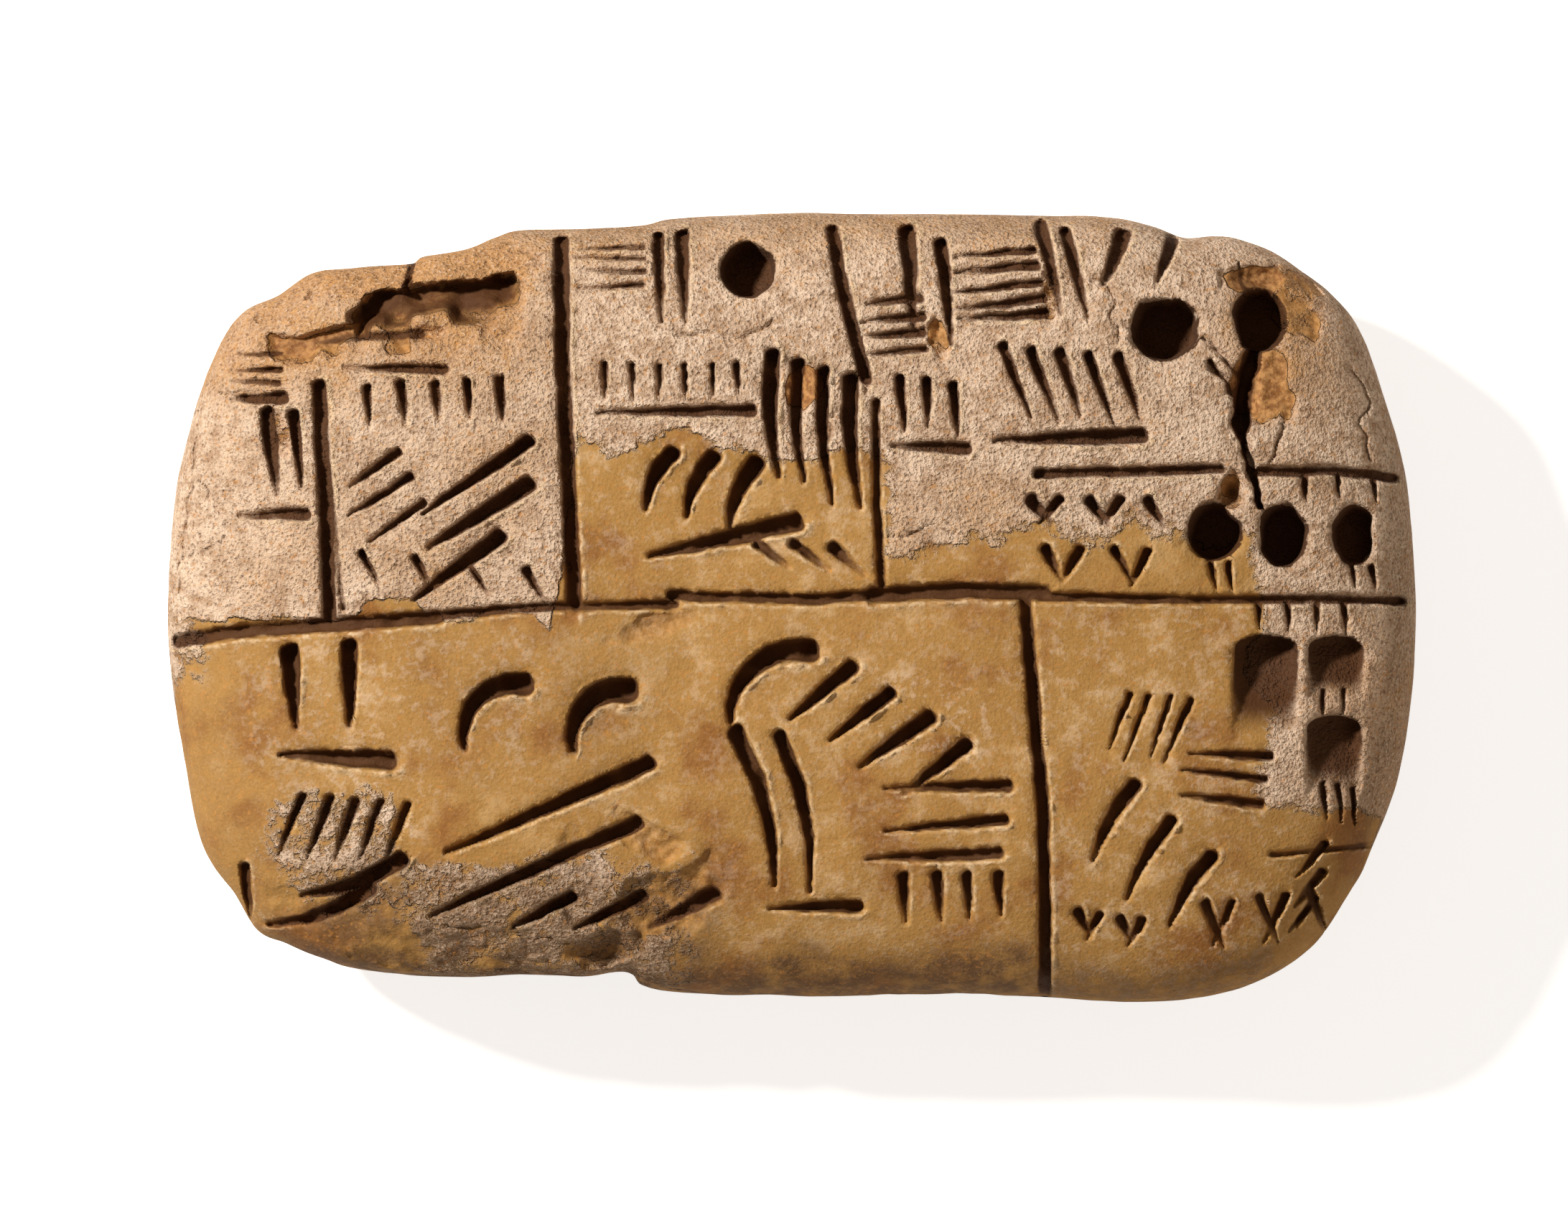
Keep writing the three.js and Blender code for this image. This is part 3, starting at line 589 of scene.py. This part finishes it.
def patch(x_low, x_high, y_low, y_high, blur=1.6):
    """A soft-edged patch of the tablet, from 0 outside to 1 inside, wandering more on its sides."""
    wander = (1.2 + 4 * (1 - on_top)) * lumps(co, 3.5, 31) + 0.5 * lumps(co, 1.2, 32)
    across = soft_step(co[:, 0] + wander, x_low - blur, x_low + blur)
    across = across * (1 - soft_step(co[:, 0] + wander, x_high - blur, x_high + blur))
    up = soft_step(co[:, 1] + wander, y_low - blur, y_low + blur)
    return across * up * (1 - soft_step(co[:, 1] + wander, y_high - blur, y_high + blur))


# Where the finish and the painted shade change.
BURR_HEIGHT = 0.07
DEEPEST = 4
crust = np.max([
    patch(-45, 45, 9.8, 30), patch(-45, -13.4, -0.6, 30, 0.8), patch(12, 45, 4.5, 30),
    patch(28, 45, -12.5, 30), 0.6 * patch(-45, -35.5, -5, 30), 0.8 * patch(5.6, 14, 3.2, 30),
    0.6 * patch(-24, -5, -23, -14.5), 0.55 * patch(-32, -24, -19, -11),
], axis=0)
remnants = np.max([
    0.6 * patch(-34, -14, -10, 0), 0.35 * patch(-14, 14, -24, 0), 0.5 * patch(14, 30, -24, 0),
    0.4 * patch(-13, 14, 0, 10), 0.8 * patch(3, 13, -9, -4), 0.8 * patch(-31, -22, -19, -10),
], axis=0)
stain = np.max([
    patch(-36, -14, 13, 40, 4), 0.6 * patch(-36, 20, 20.5, 40), 0.7 * patch(26, 33, 12, 22, 2.5),
    0.6 * patch(6, 13, 3, 8.5), 0.4 * patch(-34, -13, 0, 12, 3), 0.5 * patch(30, 45, -14, 0, 3),
], axis=0)
# Partly grime and partly painted shade: the lower and right rims, which face away from the lamp, and the
# underside are painted darker, as are the top rim and two patches of the lower left face.
grime_and_shade = np.max([
    1.3 * patch(-34, 14, -30, -20.6, 1), 0.9 * patch(14, 36, -30, -21.6, 0.9),
    0.6 * patch(33, 45, -22, -7, 1.2), 0.55 * patch(36.6, 45, -20, 20, 0.9),
    0.6 * patch(-40, 40, 22.6, 30, 0.6), 1.1 * patch(-30, -4, -24, -15.5), 0.35 * patch(-45, -28, -22, -2, 3),
    0.3 * patch(-24, -8, -10, 0, 3),
    0.4 * soft_step(-co[:, 2], -9, -2),
], axis=0)
masks = {
    "crust": crust * (1 - broken * on_top),
    "remnants": remnants,
    "stain": stain,
    "grime_and_shade": grime_and_shade,
    "painted_shade": np.clip(painted_shade, 0, DEEPEST) * on_top,
    "burr_highlight": np.clip(lip / BURR_HEIGHT, 0, 1) * on_top,
    "broken": broken * on_top,
}
for name, values in masks.items():
    layer = tablet_mesh.attributes.new(name, "FLOAT", "POINT")
    layer.data.foreach_set("value", values.astype(np.float32))

# The clay: smooth ochre where the slip survives, a pale sandy crust over it, brown where it broke, with
# painted shade in its hollows and painted highlights on its lips and grain.
clay = bpy.data.materials.new("clay")
clay.use_nodes = True
tree = clay.node_tree
tree.nodes.clear()


def add(kind, inputs=None, **settings):
    """Adds one node to the clay, with its inputs set or linked."""
    made = tree.nodes.new(kind)
    for setting, value in settings.items():
        setattr(made, setting, value)
    for socket, value in (inputs or {}).items():
        if isinstance(value, bpy.types.NodeSocket):
            tree.links.new(value, made.inputs[socket])
        else:
            made.inputs[socket].default_value = value
    return made


place = add("ShaderNodeTexCoord").outputs["Object"]


def mask(name):
    return add("ShaderNodeAttribute", attribute_name=name).outputs["Fac"]


def speckle(per_metre, detail=2.0, roughness=0.6):
    return add("ShaderNodeTexNoise", {
        "Vector": place, "Scale": per_metre, "Detail": detail, "Roughness": roughness,
    }).outputs["Fac"]


def between(value, low, high, to_low=0.0, to_high=1.0):
    return add("ShaderNodeMapRange", {
        "Value": value, "From Min": low, "From Max": high, "To Min": to_low, "To Max": to_high,
    }, interpolation_type="SMOOTHSTEP").outputs["Result"]


def combine(operation, first, second):
    return add("ShaderNodeMath", {0: first, 1: second}, operation=operation).outputs[0]


def mix(amount, first, second, blend_type="MIX"):
    made = tree.nodes.new("ShaderNodeMix")
    made.data_type = "RGBA"
    made.blend_type = blend_type
    for socket, value in zip((made.inputs[0], made.inputs[6], made.inputs[7]), (amount, first, second)):
        if isinstance(value, bpy.types.NodeSocket):
            tree.links.new(value, socket)
        else:
            socket.default_value = value
    return made.outputs[2]


OCHRE_BROWN = (0.28, 0.118, 0.028, 1)
OCHRE_YELLOW = (0.4, 0.215, 0.06, 1)
OCHRE_PALE = (0.5, 0.3, 0.115, 1)
CRUST_DARK = (0.42, 0.27, 0.17, 1)
CRUST_PALE = (0.74, 0.57, 0.435, 1)
CRUST_STAIN = (0.46, 0.245, 0.095, 1)
CORE_BROWN = (0.24, 0.095, 0.028, 1)
CORE_TAN = (0.56, 0.29, 0.11, 1)
CREAM_HIGHLIGHT = (0.74, 0.55, 0.34, 1)
SHADOWED = (0.07, 0.024, 0.006, 1)
DIRT_AND_SHADE = (0.15, 0.075, 0.028, 1)
SAND_PIT_SHADE = (0.13, 0.055, 0.02, 1)
SAND_ORANGE = (0.5, 0.22, 0.05, 1)

blotches = speckle(170, 4.0)
mottling = speckle(620, 5.0, 0.65)
freckles = speckle(2300, 3.0)
grain = speckle(5000, 1.5, 0.6)


def blend(first, first_share, second, second_share):
    """Two values added up, each times its share."""
    return combine("ADD", combine("MULTIPLY", first, first_share), combine("MULTIPLY", second, second_share))


crust_amount = between(combine("ADD", mask("crust"), blend(mottling, 1.1, freckles, 0.5)), 1.12, 1.46)
lace_noise = between(blend(mottling, 0.6, freckles, 0.6), 0.58, 0.72, 0, 0.5)
lace_amount = combine("MULTIPLY", lace_noise, mask("remnants"))

ochre = mix(between(blotches, 0.32, 0.5), OCHRE_BROWN, OCHRE_YELLOW)
ochre = mix(between(blend(blotches, 0.5, mottling, 0.5), 0.5, 0.64), ochre, OCHRE_PALE)
ochre = mix(lace_amount, ochre, CRUST_PALE)
crust_colour = mix(between(blend(mottling, 0.6, freckles, 0.4), 0.38, 0.62), CRUST_DARK, CRUST_PALE)
stain_noise = blend(blotches, 0.5, blend(mottling, 0.5, freckles, 0.5), 1)
stained = combine("ADD", combine("MULTIPLY", mask("stain"), 0.3), stain_noise)
stain_amount = between(stained, 0.8, 1.12, 0, 0.9)
crust_colour = mix(stain_amount, crust_colour, CRUST_STAIN)
colour = mix(crust_amount, ochre, crust_colour)
colour = mix(mask("broken"), colour, mix(between(freckles, 0.35, 0.65), CORE_BROWN, CORE_TAN))
# Pale crumbs and a painted highlight on the raised lips along the strokes' lower right edges, which face the
# lamp.
burr_highlight_amount = combine("MULTIPLY", mask("burr_highlight"), between(freckles, 0.35, 0.6, 0.15, 0.7))
colour = mix(burr_highlight_amount, colour, CREAM_HIGHLIGHT)
# Grime and painted shade, patchy with the mottling.
grime_and_shade_amount = combine("MULTIPLY", mask("grime_and_shade"), between(mottling, 0.3, 0.62))
colour = mix(combine("MULTIPLY", grime_and_shade_amount, 0.75), colour, DIRT_AND_SHADE)
# Painted shade in the low pits of the sand grain and a painted highlight on its tops, standing in for the
# lamp's raking light on the grain.
pit_shade = between(grain, 0.46, 0.3, 0, 0.6)
colour = mix(combine("MULTIPLY", pit_shade, between(crust_amount, 0, 1, 0.3, 1)), colour, SAND_PIT_SHADE)
grain_highlights = between(grain, 0.56, 0.7, 0, 0.5)
colour = mix(combine("MULTIPLY", grain_highlights, between(crust_amount, 0, 1, 0.15, 1)), colour, CRUST_PALE)
orange_sand = between(speckle(3100, 1.0), 0.6, 0.72, 0, 0.5)
colour = mix(orange_sand, colour, SAND_ORANGE)
# Painted shade: strokes, holes, scoops and cracks, and the breaks less so, are coloured towards SHADOWED the
# deeper they are sunk.
colour = mix(between(mask("painted_shade"), 0.1, 0.75, 0, 0.96), colour, SHADOWED)

GRAIN_DEPTH = 0.2 * MM
FRECKLE_DEPTH = 0.18 * MM
grain_height = combine("MULTIPLY", grain, between(crust_amount, 0, 1, 0.25, 1))
grain_bump = add("ShaderNodeBump", {"Height": grain_height, "Strength": 1.0, "Distance": GRAIN_DEPTH})
freckle_height = combine("MULTIPLY", freckles, between(crust_amount, 0, 1, 0.25, 1))
freckle_bump = add("ShaderNodeBump", {
    "Height": freckle_height, "Strength": 1.0, "Distance": FRECKLE_DEPTH,
    "Normal": grain_bump.outputs["Normal"],
})
surface = add("ShaderNodeBsdfPrincipled", {
    "Base Color": colour, "Roughness": between(crust_amount, 0, 1, 0.78, 0.95),
    "Specular IOR Level": 0.25, "Normal": freckle_bump.outputs["Normal"],
})
add("ShaderNodeOutputMaterial", {"Surface": surface.outputs["BSDF"]})
clay_tablet.data.materials.append(clay)

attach(clay_tablet, "root")
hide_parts("tablet")

# ---- The floor -------------------------------------------------------------------------------------
# A plain pale sheet of card that the tablet lies on. It is no part of the tablet.

FLOOR_SIZE = 3.0
CARD_WHITE = (0.86, 0.86, 0.86, 1)
CARD_GLOW = 0.72
floor_bm = bmesh.new()
bmesh.ops.create_grid(floor_bm, x_segments=1, y_segments=1, size=FLOOR_SIZE / 2)
floor_mesh = bpy.data.meshes.new("floor")
floor_bm.to_mesh(floor_mesh)
floor_bm.free()
floor = bpy.data.objects.new("floor", floor_mesh)
bpy.context.collection.objects.link(floor)
card = bpy.data.materials.new("card")
card.use_nodes = True
paper = card.node_tree.nodes["Principled BSDF"]
paper.inputs["Base Color"].default_value = CARD_WHITE
paper.inputs["Roughness"].default_value = 0.9
paper.inputs["Emission Color"].default_value = (1, 1, 1, 1)
seen_directly = card.node_tree.nodes.new("ShaderNodeLightPath").outputs["Is Camera Ray"]
glow = card.node_tree.nodes.new("ShaderNodeMath")
glow.operation = "MULTIPLY"
glow.inputs[1].default_value = CARD_GLOW
card.node_tree.links.new(seen_directly, glow.inputs[0])
card.node_tree.links.new(glow.outputs[0], paper.inputs["Emission Strength"])
floor_mesh.materials.append(card)

# ---- The camera and the lights ----------------------------------------------------------------------
# The camera looks straight down on the face. A warm lamp stands low beyond the upper left corner,
# so that it rakes over the strokes. A wide weak one opposite and a pale room fill the shadows.

CAMERA_SENSOR = 36
CAMERA_LENS = 250
VIEW_WIDTH = 0.0958
camera_data = bpy.data.cameras.new("camera")
camera_data.sensor_width = CAMERA_SENSOR
camera_data.lens = CAMERA_LENS
camera = bpy.data.objects.new("camera", camera_data)
camera.location = (-0.00048, -0.00018, VIEW_WIDTH * CAMERA_LENS / CAMERA_SENSOR + GIRTH_HEIGHT * MM)
bpy.context.collection.objects.link(camera)
bpy.context.scene.camera = camera

lamp_data = bpy.data.lights.new("lamp", "AREA")
lamp_data.shape = "DISK"
lamp_data.size = 0.09
lamp_data.energy = 10.5
lamp_data.color = (1.0, 0.95, 0.88)
lamp = bpy.data.objects.new("lamp", lamp_data)
lamp.location = (-0.56, 0.33, 0.6)
lamp.rotation_euler = (-lamp.location).to_track_quat("-Z", "Y").to_euler()
bpy.context.collection.objects.link(lamp)

fill_data = bpy.data.lights.new("fill", "AREA")
fill_data.size = 0.6
fill_data.energy = 1.6
fill_data.color = (1.0, 0.86, 0.7)
fill = bpy.data.objects.new("fill", fill_data)
fill.location = (0.7, -0.45, 0.4)
fill.rotation_euler = (-fill.location).to_track_quat("-Z", "Y").to_euler()
bpy.context.collection.objects.link(fill)

room = bpy.data.worlds.new("room")
room.use_nodes = True
room.node_tree.nodes["Background"].inputs["Color"].default_value = (1.0, 0.84, 0.66, 1)
room.node_tree.nodes["Background"].inputs["Strength"].default_value = 0.17
bpy.context.scene.world = room
bpy.context.scene.view_settings.view_transform = "Standard"
